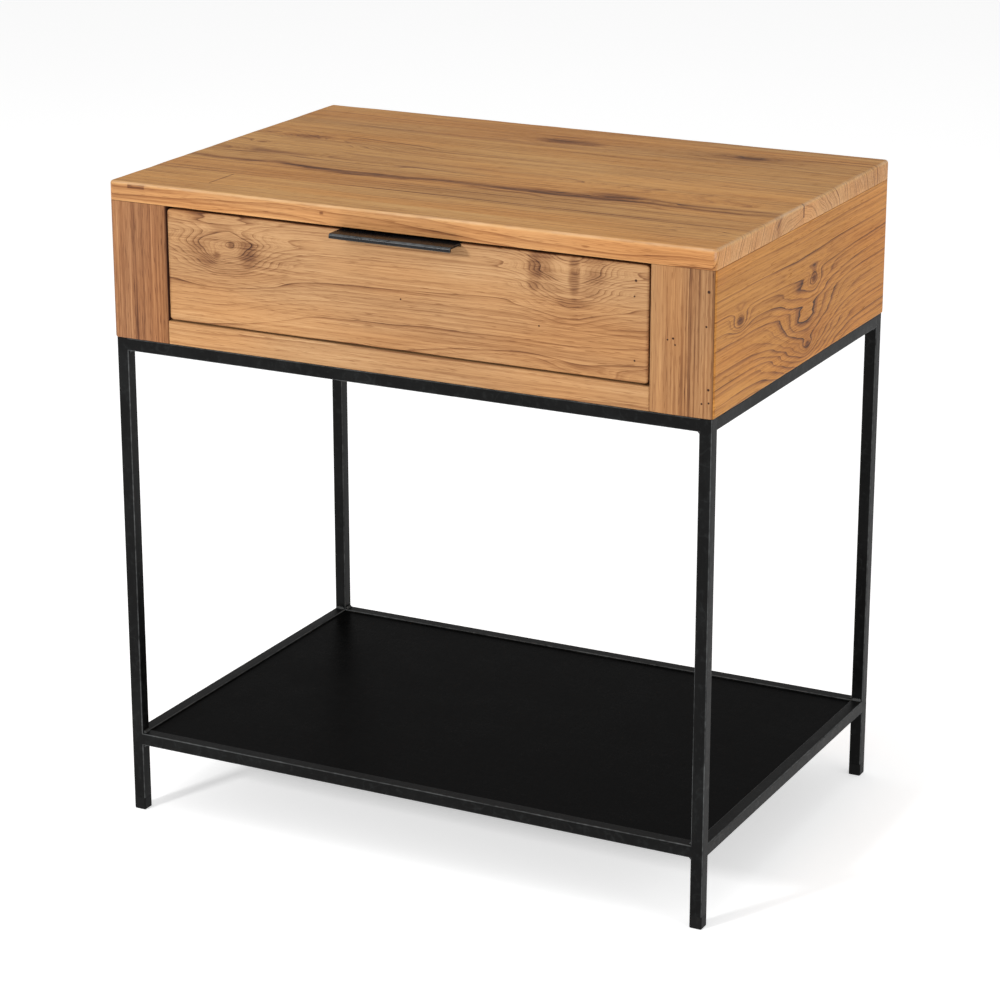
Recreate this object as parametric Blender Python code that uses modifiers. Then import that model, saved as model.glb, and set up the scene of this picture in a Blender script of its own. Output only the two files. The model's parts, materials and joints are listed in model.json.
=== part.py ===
"""Side table with one drawer: a teak box on a square-tube steel frame with a low steel shelf.

Metres, +Z up, front towards -Y. The origin is on the floor, under the middle of the table's
bounding box, which reaches from the drawer pull at the front to the back panel.
"""

import math

import bmesh
import bpy
from mathutils import Matrix, Vector

# The whole table
BOX_WIDTH = 0.600
BOX_DEPTH = 0.407
TABLE_HEIGHT = 0.619
BOX_HEIGHT = 0.147
PULL_REACH = 0.018  # how far the pull stands in front of the box
JOINT = 0.0003  # gap that is left in every glued, welded or resting joint

# The teak box
BOARD = 0.018  # thickness of the top, sides, stiles, rail and drawer front
STILE_WIDTH = 0.059
FRONT_RAIL_HEIGHT = 0.022
BACK_BOARD = 0.012
FLOOR_BOARD = 0.009
TOP_ROUNDING = 0.004
CORNER_ROUNDING = 0.0025
EDGE_ROUNDING = 0.0015
RUNNER_BLOCK_HEIGHT = 0.050

# The steel frame
TUBE = 0.012
TUBE_WALL = 0.0015
TUBE_ROUNDING = 0.0012
FRAME_INSET = 0.0015
SHELF_TOP = 0.0795
SHELF_SINK = 0.002  # the plate lies this far below the top of its rails
PLATE = 0.002
FOOT_HEIGHT = 0.012
FOOT_ROUNDING = 0.0025
FOOT_STEM = 0.010

# The drawer
GAP_SIDE = 0.0020
GAP_TOP = 0.0025
GAP_BOTTOM = 0.0015
FRONT_SINK = 0.001  # the drawer front lies this far behind the stiles
DRAWER_BOARD = 0.012
DRAWER_HEIGHT = 0.080
DRAWER_BOX_RISE = 0.009  # from the front rail up to the drawer's sides
DRAWER_LENGTH = 0.345
DRAWER_PLY = 0.006
GROOVE_RISE = 0.010
GROOVE_DEPTH = 0.005

# The pull: a bent strip over the top edge of the drawer front
PULL_WIDTH = 0.120
PULL_SHEET = 0.002
PULL_LIP = 0.0045
PULL_FLANGE = 0.024
PULL_BEND = 0.0014

# The ball-bearing runners, in steps from the runner block towards the drawer
RUNNER_LENGTH = 0.350
RUNNER_DEPTH = 0.0127
RUNNER_SHEET = 0.0012
RUNNER_BEND = 0.0016
RUNNER_START = 0.022  # behind the face of the box
CAGE_SHEET = 0.0006
CAGE_LENGTH = 0.110
CAGE_START = 0.120  # behind the front end of the runners

# Each runner section: the depths where it starts and ends, and its height
CABINET_SECTION = (0.0, 0.0105, 0.0450)
MIDDLE_SECTION = (0.0026, 0.0110, 0.0366)
DRAWER_SECTION = (0.0054, RUNNER_DEPTH, 0.0282)
OUTER_CAGE_SECTION = (0.0015, 0.0090, 0.0402)
INNER_CAGE_SECTION = (0.0042, 0.0100, 0.0318)

# Screws: shank length, head radius, head height, shank radius
FRAME_SCREW = (0.022, 0.0034, 0.0022, 0.0021)
PULL_SCREW = (0.012, 0.0035, 0.0018, 0.0016)
RUNNER_SCREW = (0.010, 0.0035, 0.0008, 0.0016)
SCREW_SEAT = 0.0002  # gap under a screw's head
SCREW_SIDES = 12
ACCESS_RADIUS = 0.0038  # hole under each frame screw, for the driver
RUNNER_SCREW_INSET = 0.015
RECESS_DEPTH = 0.70  # shares of a screw's head height and head radius
RECESS_BOTTOM = 0.45
RECESS_TOP = 0.50

# Places that follow
SIDE = BOX_WIDTH / 2
FRONT = -(BOX_DEPTH + PULL_REACH) / 2 + PULL_REACH
BACK = (BOX_DEPTH + PULL_REACH) / 2
BOX_BOTTOM = TABLE_HEIGHT - BOX_HEIGHT
TOP_UNDERSIDE = TABLE_HEIGHT - BOARD
OPENING = SIDE - STILE_WIDTH
OPENING_BOTTOM = BOX_BOTTOM + FRONT_RAIL_HEIGHT
DRAWER_TOP = TOP_UNDERSIDE - GAP_TOP
DRAWER_FACE = FRONT + FRONT_SINK
DRAWER_FRONT_BACK = DRAWER_FACE + BOARD
DRAWER_BOX_SIDE = OPENING - RUNNER_DEPTH - 2 * JOINT
DRAWER_BOX_BOTTOM = OPENING_BOTTOM + DRAWER_BOX_RISE
DRAWER_BOX_TOP = DRAWER_BOX_BOTTOM + DRAWER_HEIGHT
DRAWER_BOX_FRONT = DRAWER_FRONT_BACK + JOINT
DRAWER_BOX_BACK = DRAWER_BOX_FRONT + DRAWER_LENGTH
DRAWER_FLOOR = DRAWER_BOX_BOTTOM + GROOVE_RISE
RUNNER_HEIGHT = (DRAWER_BOX_BOTTOM + DRAWER_BOX_TOP) / 2
RUNNER_FRONT = FRONT + RUNNER_START
FRAME_TOP = BOX_BOTTOM - JOINT
LEG_X = SIDE - FRAME_INSET - TUBE / 2
LEG_FRONT = FRONT + FRAME_INSET + TUBE / 2
LEG_BACK = BACK - FRAME_INSET - TUBE / 2

# Turns that lay a shape's own Z along the named axis, with its own Y still upright for X and Y
ALONG = {
    "X": (math.pi / 2, 0.0, math.pi / 2),
    "Y": (math.pi / 2, 0.0, 0.0),
    "Z": (0.0, 0.0, 0.0),
}
SIDES = (("left", -1), ("right", 1))
ENDS = (("front", LEG_FRONT), ("back", LEG_BACK))

for old in list(bpy.data.objects):
    bpy.data.objects.remove(old, do_unlink=True)

PARTS = bpy.data.collections.new("side_table_with_drawer")
CUTTERS = bpy.data.collections.new("cutters")
for group in (PARTS, CUTTERS):
    bpy.context.scene.collection.children.link(group)


def material(name, colour, roughness, metallic=0.0):
    """A Principled material in one colour."""
    made = bpy.data.materials.new(name)
    made.use_nodes = True
    shader = made.node_tree.nodes["Principled BSDF"]
    shader.inputs["Base Color"].default_value = (*colour, 1.0)
    shader.inputs["Roughness"].default_value = roughness
    shader.inputs["Metallic"].default_value = metallic
    made.diffuse_color = (*colour, 1.0)
    return made


TOP_TEAK = material("top_teak", (0.43, 0.23, 0.10), 0.45)
SIDE_TEAK = material("side_teak", (0.42, 0.20, 0.08), 0.50)
STILE_TEAK = material("stile_teak", (0.40, 0.21, 0.10), 0.50)
DRAWER_TEAK = material("drawer_teak", (0.45, 0.25, 0.12), 0.50)
DRAWER_WOOD = material("drawer_wood", (0.52, 0.36, 0.21), 0.60)
BLACK_STEEL = material("black_steel", (0.018, 0.018, 0.017), 0.42, 0.4)
SHELF_STEEL = material("shelf_steel", (0.010, 0.010, 0.010), 0.35, 0.3)
PULL_STEEL = material("pull_steel", (0.014, 0.014, 0.015), 0.38, 0.5)
CAP_PLASTIC = material("cap_plastic", (0.022, 0.022, 0.022), 0.55)
ZINC = material("zinc", (0.55, 0.56, 0.58), 0.32, 1.0)
BLACK_SCREW = material("black_screw", (0.03, 0.03, 0.03), 0.40, 0.8)


def add(name, mesh, surface, centre=(0, 0, 0), along="Z"):
    """A part with this mesh, centred here, with its own Z laid along an axis."""
    made = bpy.data.objects.new(name, mesh)
    made.location = centre
    made.rotation_euler = ALONG[along]
    if not mesh.materials:
        mesh.materials.append(surface)
    PARTS.objects.link(made)
    return made


def add_cutter(name, mesh, centre):
    """A helper that only cuts."""
    made = bpy.data.objects.new(name, mesh)
    made.location = centre
    made.hide_render = True
    made.display_type = "WIRE"
    CUTTERS.objects.link(made)
    return made


def cut(part, cutter, operation="DIFFERENCE"):
    """Takes the cutter's shape out of the part, or joins it on."""
    step = part.modifiers.new(cutter.name, "BOOLEAN")
    step.operation = operation
    step.solver = "EXACT"
    step.object = cutter


def box_mesh(name, size):
    """A box of this size around its own origin."""
    mesh = bpy.data.meshes.new(name)
    shape = bmesh.new()
    bmesh.ops.create_cube(shape, size=1.0)
    bmesh.ops.scale(shape, vec=size, verts=shape.verts)
    shape.to_mesh(mesh)
    shape.free()
    return mesh


def span(low, high):
    """(centre, size) of the box between two corners."""
    centre = [(a + b) / 2 for a, b in zip(low, high)]
    size = [b - a for a, b in zip(low, high)]
    return centre, size


def board(name, low, high, surface):
    """A board between two corners, with its edges slightly eased."""
    centre, size = span(low, high)
    made = add(name, box_mesh(name, size), surface, centre)
    ease(made, EDGE_ROUNDING, 2, lambda middle: True)
    return made


def ease(part, radius, segments, chosen):
    """Rounds those edges of a part whose middle is chosen."""
    shape = bmesh.new()
    shape.from_mesh(part.data)
    edges = [edge for edge in shape.edges if chosen((edge.verts[0].co + edge.verts[1].co) / 2)]
    bmesh.ops.bevel(
        shape,
        geom=edges,
        offset=radius,
        offset_type="OFFSET",
        segments=segments,
        profile=0.5,
        affect="EDGES",
        clamp_overlap=True,
    )
    shape.to_mesh(part.data)
    shape.free()


def rounded(corners, radius, steps, closed=False):
    """Corner points joined by straight runs, with an arc in place of each right-angled bend."""
    corners = [Vector(corner) for corner in corners]
    if closed:
        corners = [corners[-1], *corners, corners[0]]
        points = []
    else:
        points = [corners[0]]
    for before, corner, after in zip(corners, corners[1:], corners[2:]):
        into = (corner - before).normalized()
        out = (after - corner).normalized()
        centre = corner + radius * (out - into)
        for step in range(steps + 1):
            angle = math.pi / 2 * step / steps
            points.append(centre - radius * math.cos(angle) * out + radius * math.sin(angle) * into)
    if not closed:
        points.append(corners[-1])
    return points


def square(side, radius, steps):
    """A square with rounded corners around the origin."""
    half = side / 2
    corners = [(-half, -half), (half, -half), (half, half), (-half, half)]
    return rounded(corners, radius, steps, closed=True)


def extruded_mesh(name, outlines, length):
    """Flat outlines in X and Y, the later ones holes in the first, drawn out along Z."""
    outline_curve = bpy.data.curves.new(name, "CURVE")
    outline_curve.dimensions = "2D"
    outline_curve.fill_mode = "BOTH"
    outline_curve.extrude = length / 2
    for outline in outlines:
        spline = outline_curve.splines.new("POLY")
        spline.points.add(len(outline) - 1)
        for point, (x, y) in zip(spline.points, outline):
            point.co = (x, y, 0.0, 1.0)
        spline.use_cyclic_u = True
    holder = bpy.data.objects.new(name, outline_curve)
    CUTTERS.objects.link(holder)
    bpy.context.view_layer.update()
    graph = bpy.context.evaluated_depsgraph_get()
    mesh = bpy.data.meshes.new_from_object(holder.evaluated_get(graph))
    bpy.data.objects.remove(holder, do_unlink=True)
    mesh.name = name
    shape = bmesh.new()
    shape.from_mesh(mesh)
    bmesh.ops.remove_doubles(shape, verts=shape.verts, dist=1e-6)
    bmesh.ops.recalc_face_normals(shape, faces=shape.faces)
    shape.to_mesh(mesh)
    shape.free()
    return mesh


def bent_sheet(name, corners, bend_radius, thickness, length, surface, centre, along):
    """A strip of sheet whose middle line runs through these corners, with rounded bends."""
    mesh = bpy.data.meshes.new(name)
    shape = bmesh.new()
    line = rounded(corners, bend_radius, 3)
    verts = [shape.verts.new((x, y, -length / 2)) for x, y in line]
    edges = [shape.edges.new(pair) for pair in zip(verts, verts[1:])]
    drawn = bmesh.ops.extrude_edge_only(shape, edges=edges)["geom"]
    drawn_verts = [item for item in drawn if isinstance(item, bmesh.types.BMVert)]
    bmesh.ops.translate(shape, vec=(0, 0, length), verts=drawn_verts)
    shape.to_mesh(mesh)
    shape.free()
    made = add(name, mesh, surface, centre, along)
    sheet = made.modifiers.new("sheet", "SOLIDIFY")
    sheet.thickness = thickness
    sheet.offset = 0.0
    sheet.use_even_offset = True
    return made


def frozen(part):
    """The mesh that a part has with its modifiers, and the part itself removed."""
    bpy.context.view_layer.update()
    graph = bpy.context.evaluated_depsgraph_get()
    mesh = bpy.data.meshes.new_from_object(part.evaluated_get(graph))
    bpy.data.objects.remove(part, do_unlink=True)
    return mesh


def cone_mesh(name, sides, radii, height):
    """A many-sided cylinder or cone around its own origin, from its bottom and top radii."""
    mesh = bpy.data.meshes.new(name)
    shape = bmesh.new()
    bmesh.ops.create_cone(
        shape, cap_ends=True, segments=sides, radius1=radii[0], radius2=radii[1], depth=height
    )
    shape.to_mesh(mesh)
    shape.free()
    return mesh


def screw_mesh(name, measures, surface):
    """A wood screw down -Z with a six-sided recess; its head's underside is at the origin."""
    length, head_radius, head_height, radius = measures
    edge = head_height / 4
    tip = 2 * radius
    profile = [
        (0, head_height),
        (head_radius - edge, head_height),
        (head_radius, head_height - edge),
        (head_radius, 0),
        (radius, 0),
        (radius, tip - length),
        (0, -length),
    ]
    mesh = bpy.data.meshes.new(name)
    shape = bmesh.new()
    verts = [shape.verts.new((x, 0, z)) for x, z in profile]
    for pair in zip(verts, verts[1:]):
        shape.edges.new(pair)
    shape.to_mesh(mesh)
    shape.free()
    turned = add(name, mesh, surface)
    turn = turned.modifiers.new("turn", "SCREW")
    turn.axis = "Z"
    turn.steps = SCREW_SIDES
    turn.render_steps = SCREW_SIDES
    turn.use_merge_vertices = True
    turn.merge_threshold = 0.00001
    recess_radii = (head_radius * RECESS_BOTTOM, head_radius * RECESS_TOP)
    recess_mesh = cone_mesh(name + "_recess", 6, recess_radii, 2 * head_height * RECESS_DEPTH)
    recess = add_cutter(name + "_recess", recess_mesh, (0, 0, head_height))
    cut(turned, recess)
    finished = frozen(turned)
    bpy.data.objects.remove(recess, do_unlink=True)
    return finished


def pilot_mesh(name, measures):
    """The hole for a screw: it clears the shank by the joint gap."""
    length, _head_radius, head_height, radius = measures
    top = head_height / 2
    bottom = -(length + JOINT)
    mesh = cone_mesh(name, SCREW_SIDES, (radius + JOINT, radius + JOINT), top - bottom)
    mesh.transform(Matrix.Translation((0, 0, (top + bottom) / 2)))
    return mesh


def drive_screw(name, meshes, seat, turn, through):
    """A screw whose head rests on the point seat, with a hole for it in each piece it enters."""
    screw, pilot = meshes
    made = add(name, screw, BLACK_SCREW, seat)
    made.rotation_euler = turn
    hole = add_cutter(name + "_hole", pilot, seat)
    hole.rotation_euler = turn
    for part in through:
        cut(part, hole)
    return made


# Turns that point a screw, which runs down its own -Z
UPWARDS = (math.pi, 0, 0)
FORWARDS = (-math.pi / 2, 0, 0)
OUTWARDS = {-1: (0, math.pi / 2, 0), 1: (0, -math.pi / 2, 0)}
INWARDS = {-1: OUTWARDS[1], 1: OUTWARDS[-1]}


def make_top():
    """The top board, which covers the sides and the front."""
    centre, size = span((-SIDE, FRONT, TOP_UNDERSIDE), (SIDE, BACK, TABLE_HEIGHT))
    top = add("top_board", box_mesh("top_board", size), TOP_TEAK, centre)
    tiny = size[2] / 4
    ease(top, TOP_ROUNDING, 3, lambda middle: middle.z > tiny)
    ease(top, EDGE_ROUNDING, 2, lambda middle: middle.z < -size[2] / 2 + tiny)


def outer_arc(start, end):
    """Points on the rounded front corner of the box, from one angle to another, in degrees."""
    steps = 3
    centre = Vector((SIDE - CORNER_ROUNDING, FRONT + CORNER_ROUNDING))
    angles = [math.radians(start + (end - start) * step / steps) for step in range(steps + 1)]
    return [centre + CORNER_ROUNDING * Vector((math.cos(a), math.sin(a))) for a in angles]


def upright(name, outline, mirror, low, high, surface):
    """A board on end, from its outline seen from above on the right-hand side."""
    placed = [(mirror * x, y) for x, y in outline]
    mesh = extruded_mesh(name, [placed], high - low)
    return add(name, mesh, surface, (0, 0, (low + high) / 2))


def make_walls():
    """The sides and the stiles, which meet in a mitre at each front corner."""
    top = TOP_UNDERSIDE - JOINT
    slide_back = JOINT * math.sqrt(2)
    stile = [(OPENING, FRONT), *outer_arc(-90, -45), (SIDE - BOARD, FRONT + BOARD)]
    stile.append((OPENING, FRONT + BOARD))
    panel = [(x, y + slide_back) for x, y in outer_arc(-45, 0)]
    panel += [(SIDE, BACK), (SIDE - BOARD, BACK), (SIDE - BOARD, FRONT + BOARD + slide_back)]
    walls = {}
    for word, mirror in SIDES:
        upright("front_stile_" + word, stile, mirror, BOX_BOTTOM, top, STILE_TEAK)
        name = "side_panel_" + word
        walls[word] = upright(name, panel, mirror, BOX_BOTTOM, top, SIDE_TEAK)
    rail_low = (-OPENING + JOINT, FRONT, BOX_BOTTOM)
    rail_high = (OPENING - JOINT, FRONT + BOARD, OPENING_BOTTOM)
    board("front_rail", rail_low, rail_high, STILE_TEAK)
    inner = SIDE - BOARD - JOINT
    board("back_panel", (-inner, BACK - BACK_BOARD, BOX_BOTTOM), (inner, BACK, top), SIDE_TEAK)
    floor_low = (-inner, FRONT + BOARD + JOINT, BOX_BOTTOM)
    floor_high = (inner, BACK - BACK_BOARD - JOINT, BOX_BOTTOM + FLOOR_BOARD)
    board("bottom_panel", floor_low, floor_high, SIDE_TEAK)
    return walls


def make_frame(walls, screw):
    """Four legs, a ring of rails under the box, a ring round the shelf, and the feet.

    The screws that hold the box sit inside its side rails, over a hole for the driver.
    """
    ring = square(TUBE, TUBE_ROUNDING, 3)
    hole = square(TUBE - 2 * TUBE_WALL, TUBE_WALL / 4, 1)
    leg_low = FOOT_HEIGHT + JOINT
    leg_mesh = extruded_mesh("leg", [ring, hole], FRAME_TOP - leg_low)
    long_rail = 2 * LEG_X - TUBE - 2 * JOINT
    short_rail = LEG_BACK - LEG_FRONT - TUBE - 2 * JOINT
    long_mesh = extruded_mesh("long_rail", [ring, hole], long_rail)
    middle = (LEG_FRONT + LEG_BACK) / 2
    foot = foot_mesh()
    access = cone_mesh("access", SCREW_SIDES, (ACCESS_RADIUS, ACCESS_RADIUS), TUBE / 2)
    for word, y in ENDS:
        for side, mirror in SIDES:
            place = f"{word}_{side}"
            x = mirror * LEG_X
            add("leg_" + place, leg_mesh, BLACK_STEEL, (x, y, (leg_low + FRAME_TOP) / 2))
            add("foot_cap_" + place, foot, CAP_PLASTIC, (x, y, FOOT_HEIGHT / 2))
    for ring_name, top in (("top_rail_", FRAME_TOP), ("shelf_rail_", SHELF_TOP)):
        z = top - TUBE / 2
        for word, y in ENDS:
            add(ring_name + word, long_mesh, BLACK_STEEL, (0, y, z), "X")
        for side, mirror in SIDES:
            name = ring_name + side
            short_mesh = extruded_mesh(name, [ring, hole], short_rail)
            rail = add(name, short_mesh, BLACK_STEEL, (mirror * LEG_X, middle, z), "Y")
            if top == SHELF_TOP:
                continue
            for word, end in (("front", -1), ("back", 1)):
                y = middle + end * short_rail / 3
                seat = (mirror * LEG_X, y, FRAME_TOP - TUBE_WALL - SCREW_SEAT)
                screw_name = f"frame_screw_{word}_{side}"
                drive_screw(screw_name, screw, seat, UPWARDS, (rail, walls[side]))
                below = (mirror * LEG_X, y, FRAME_TOP - TUBE)
                cut(rail, add_cutter(screw_name + "_access", access, below))
    plate_x = LEG_X - TUBE / 2 - JOINT
    plate_top = SHELF_TOP - SHELF_SINK
    plate_low = (-plate_x, LEG_FRONT + TUBE / 2 + JOINT, plate_top - PLATE)
    plate_high = (plate_x, LEG_BACK - TUBE / 2 - JOINT, plate_top)
    centre, size = span(plate_low, plate_high)
    add("shelf_plate", box_mesh("shelf_plate", size), SHELF_STEEL, centre)


def foot_mesh():
    """A plug for the end of a leg: a square head with a rounded sole, and a stem inside the tube."""
    head = extruded_mesh("foot_cap", [square(TUBE, TUBE_ROUNDING, 3)], FOOT_HEIGHT)
    plug = add("foot_cap", head, CAP_PLASTIC)
    sole = -FOOT_HEIGHT / 2
    ease(plug, FOOT_ROUNDING, 2, lambda middle: middle.z < sole + TUBE_WALL and on_rim(middle))
    stem_side = TUBE - 2 * TUBE_WALL - 2 * JOINT
    stem_mesh = box_mesh("foot_stem", (stem_side, stem_side, FOOT_STEM + FOOT_HEIGHT / 2))
    stem = add_cutter("foot_stem", stem_mesh, (0, 0, (FOOT_STEM + FOOT_HEIGHT / 2) / 2))
    cut(plug, stem, "UNION")
    finished = frozen(plug)
    bpy.data.objects.remove(stem, do_unlink=True)
    return finished


def on_rim(point):
    """Whether a point lies on the side faces of a foot, and not within its sole."""
    return max(abs(point.x), abs(point.y)) > TUBE / 2 - TUBE_ROUNDING


def make_drawer(parent):
    """The drawer front and the box behind it."""
    front_low = (-OPENING + GAP_SIDE, DRAWER_FACE, OPENING_BOTTOM + GAP_BOTTOM)
    front_high = (OPENING - GAP_SIDE, DRAWER_FRONT_BACK, DRAWER_TOP)
    front = board("drawer_front", front_low, front_high, DRAWER_TEAK)
    inner = DRAWER_BOX_SIDE - DRAWER_BOARD
    sides = {}
    for word, mirror in SIDES:
        x = sorted((mirror * inner, mirror * DRAWER_BOX_SIDE))
        low = (x[0], DRAWER_BOX_FRONT, DRAWER_BOX_BOTTOM)
        high = (x[1], DRAWER_BOX_BACK, DRAWER_BOX_TOP)
        sides[word] = board("drawer_side_" + word, low, high, DRAWER_WOOD)
    back_low = (-inner + JOINT, DRAWER_BOX_BACK - DRAWER_BOARD, DRAWER_FLOOR + DRAWER_PLY + JOINT)
    back_high = (inner - JOINT, DRAWER_BOX_BACK, DRAWER_BOX_TOP)
    back = board("drawer_back", back_low, back_high, DRAWER_WOOD)
    ply_x = inner + GROOVE_DEPTH
    ply_low = (-ply_x, DRAWER_FRONT_BACK - GROOVE_DEPTH, DRAWER_FLOOR)
    ply_high = (ply_x, DRAWER_BOX_BACK, DRAWER_FLOOR + DRAWER_PLY)
    centre, size = span(ply_low, ply_high)
    ply = add("drawer_bottom", box_mesh("drawer_bottom", size), DRAWER_WOOD, centre)
    groove_low = [value - JOINT for value in ply_low]
    groove_high = [value + JOINT for value in ply_high]
    groove_high[1] += DRAWER_BOARD
    centre, size = span(groove_low, groove_high)
    groove = add_cutter("drawer_groove", box_mesh("drawer_groove", size), centre)
    for part in (front, *sides.values()):
        cut(part, groove)
    for part in (front, back, ply, *sides.values()):
        carry(part, parent)
    return front, sides


def make_pull(front, screw, parent):
    """A strip bent over the top edge of the drawer front and screwed on from behind."""
    half = PULL_SHEET / 2
    face = FRONT - PULL_REACH + half
    rear = DRAWER_FRONT_BACK + JOINT + half
    top = DRAWER_TOP - half
    line = [(rear, top - PULL_FLANGE), (rear, top), (face, top), (face, DRAWER_TOP - PULL_LIP)]
    pull = bent_sheet(
        "drawer_pull", line, PULL_BEND, PULL_SHEET, PULL_WIDTH, PULL_STEEL, (0, 0, 0), "X"
    )
    notch_low = (-PULL_WIDTH / 2 - JOINT, DRAWER_FACE - BOARD, DRAWER_TOP - PULL_SHEET - JOINT)
    notch_high = (PULL_WIDTH / 2 + JOINT, DRAWER_FRONT_BACK + BOARD, DRAWER_TOP + BOARD)
    centre, size = span(notch_low, notch_high)
    notch = add_cutter("pull_notch", box_mesh("pull_notch", size), centre)
    cut(front, notch)
    carry(pull, parent)
    for word, mirror in SIDES:
        seat = (mirror * PULL_WIDTH / 3, rear + half + SCREW_SEAT, top - PULL_FLANGE / 2)
        fixing = drive_screw("pull_screw_" + word, screw, seat, FORWARDS, (pull, front))
        carry(fixing, parent)


def channel(section, opens_to_drawer, mirror, thickness):
    """The middle line of a C section; depths are measured from the runner block."""
    depth_low, depth_high, height = section
    half = thickness / 2
    web, lips = (depth_low + half, depth_high) if opens_to_drawer else (depth_high - half, depth_low)
    rise = height / 2 - half
    face = OPENING - JOINT
    line = [(lips, -rise), (web, -rise), (web, rise), (lips, rise)]
    return [(mirror * (face - depth), z) for depth, z in line]


def make_runners(sides, screw, parents):
    """On each side: the fixed, middle and drawer members, and the two ball cages between them."""
    centre_y = RUNNER_FRONT + RUNNER_LENGTH / 2
    cage_y = RUNNER_FRONT + CAGE_START + CAGE_LENGTH / 2
    block_back = BACK - BACK_BOARD - JOINT
    runner = (RUNNER_SHEET, RUNNER_BEND, RUNNER_LENGTH, centre_y)
    cage = (CAGE_SHEET, CAGE_SHEET, CAGE_LENGTH, cage_y)
    members = (
        ("cabinet_runner_", CABINET_SECTION, True, runner),
        ("middle_runner_", MIDDLE_SECTION, True, runner),
        ("drawer_runner_", DRAWER_SECTION, False, runner),
        ("outer_ball_cage_", OUTER_CAGE_SECTION, True, cage),
        ("inner_ball_cage_", INNER_CAGE_SECTION, True, cage),
    )
    for word, mirror in SIDES:
        x = sorted((mirror * OPENING, mirror * (SIDE - BOARD - JOINT)))
        low = (x[0], FRONT + BOARD + JOINT, RUNNER_HEIGHT - RUNNER_BLOCK_HEIGHT / 2)
        high = (x[1], block_back, RUNNER_HEIGHT + RUNNER_BLOCK_HEIGHT / 2)
        block = board("runner_block_" + word, low, high, DRAWER_WOOD)
        made = {}
        for name, section, to_drawer, (sheet, bend, length, y) in members:
            line = channel(section, to_drawer, mirror, sheet)
            place = (0, y, RUNNER_HEIGHT)
            part = bent_sheet(name + word, line, bend, sheet, length, ZINC, place, "Y")
            made[name] = part
            if name + word in parents:
                carry(part, parents[name + word])
        carry(made["drawer_runner_"], parents["drawer"])
        fixed_seat = OPENING - JOINT - RUNNER_SHEET - SCREW_SEAT
        moving_seat = OPENING - JOINT - RUNNER_DEPTH + RUNNER_SHEET + SCREW_SEAT
        ends = (
            ("front", RUNNER_FRONT + RUNNER_SCREW_INSET),
            ("back", RUNNER_FRONT + RUNNER_LENGTH - RUNNER_SCREW_INSET),
        )
        for end, y in ends:
            seat = (mirror * fixed_seat, y, RUNNER_HEIGHT)
            name = f"cabinet_runner_screw_{end}_{word}"
            drive_screw(name, screw, seat, OUTWARDS[mirror], (made["cabinet_runner_"], block))
            seat = (mirror * moving_seat, y, RUNNER_HEIGHT)
            name = f"drawer_runner_screw_{end}_{word}"
            entered = (made["drawer_runner_"], sides[word])
            fixing = drive_screw(name, screw, seat, INWARDS[mirror], entered)
            carry(fixing, parents["drawer"])


def slider(name, x):
    """An empty on a slide's line, which carries what slides with it."""
    made = bpy.data.objects.new(name, None)
    made.location = (x, RUNNER_FRONT, RUNNER_HEIGHT)
    made.empty_display_size = 0.05
    PARTS.objects.link(made)
    return made


def carry(part, parent):
    """Hangs a part on an empty without moving it."""
    part.location = part.location - parent.location
    part.parent = parent


def make_sliders():
    """The empties of the drawer, the middle runners and the ball cages."""
    parents = {"drawer": slider("drawer_slide", 0.0)}
    for word, mirror in SIDES:
        for name in ("middle_runner_", "outer_ball_cage_", "inner_ball_cage_"):
            x = mirror * (OPENING - RUNNER_DEPTH / 2)
            parents[name + word] = slider(name + word + "_slide", x)
    return parents


def fastener(name, measures):
    """A screw's mesh and the mesh of the hole it needs."""
    return screw_mesh(name, measures, BLACK_SCREW), pilot_mesh(name + "_pilot", measures)


def main():
    parents = make_sliders()
    make_top()
    walls = make_walls()
    make_frame(walls, fastener("frame_screw", FRAME_SCREW))
    front, sides = make_drawer(parents["drawer"])
    make_pull(front, fastener("pull_screw", PULL_SCREW), parents["drawer"])
    make_runners(sides, fastener("runner_screw", RUNNER_SCREW), parents)


main()
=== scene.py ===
import json
import math
from collections import namedtuple

import bmesh
import bpy
from mathutils import Matrix, Vector, noise
from mathutils.geometry import delaunay_2d_cdt


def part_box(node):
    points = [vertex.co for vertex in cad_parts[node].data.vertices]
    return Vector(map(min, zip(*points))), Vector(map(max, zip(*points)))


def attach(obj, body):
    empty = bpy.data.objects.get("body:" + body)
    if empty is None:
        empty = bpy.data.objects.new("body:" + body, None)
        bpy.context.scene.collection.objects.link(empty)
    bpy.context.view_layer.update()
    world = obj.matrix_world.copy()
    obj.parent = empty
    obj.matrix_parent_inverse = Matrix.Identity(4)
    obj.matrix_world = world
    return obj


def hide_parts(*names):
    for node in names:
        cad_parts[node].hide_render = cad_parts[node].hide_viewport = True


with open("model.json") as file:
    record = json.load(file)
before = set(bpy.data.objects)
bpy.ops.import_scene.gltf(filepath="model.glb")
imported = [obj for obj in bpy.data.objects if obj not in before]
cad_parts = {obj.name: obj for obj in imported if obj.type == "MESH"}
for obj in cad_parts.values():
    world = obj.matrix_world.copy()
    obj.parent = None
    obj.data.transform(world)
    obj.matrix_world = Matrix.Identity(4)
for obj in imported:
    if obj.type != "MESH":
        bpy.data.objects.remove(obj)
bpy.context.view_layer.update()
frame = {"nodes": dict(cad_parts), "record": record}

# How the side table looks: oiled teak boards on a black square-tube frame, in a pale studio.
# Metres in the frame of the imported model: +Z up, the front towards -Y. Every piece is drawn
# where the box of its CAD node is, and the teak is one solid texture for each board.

SIDES = (("left", -1), ("right", 1))
ENDS = ("front", "back")
AXES = {"X": 0, "Y": 1, "Z": 2}
BODY_OF = {
    node: body for body, nodes in frame["record"]["behaviour"]["bodies"].items() for node in nodes
}

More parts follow.
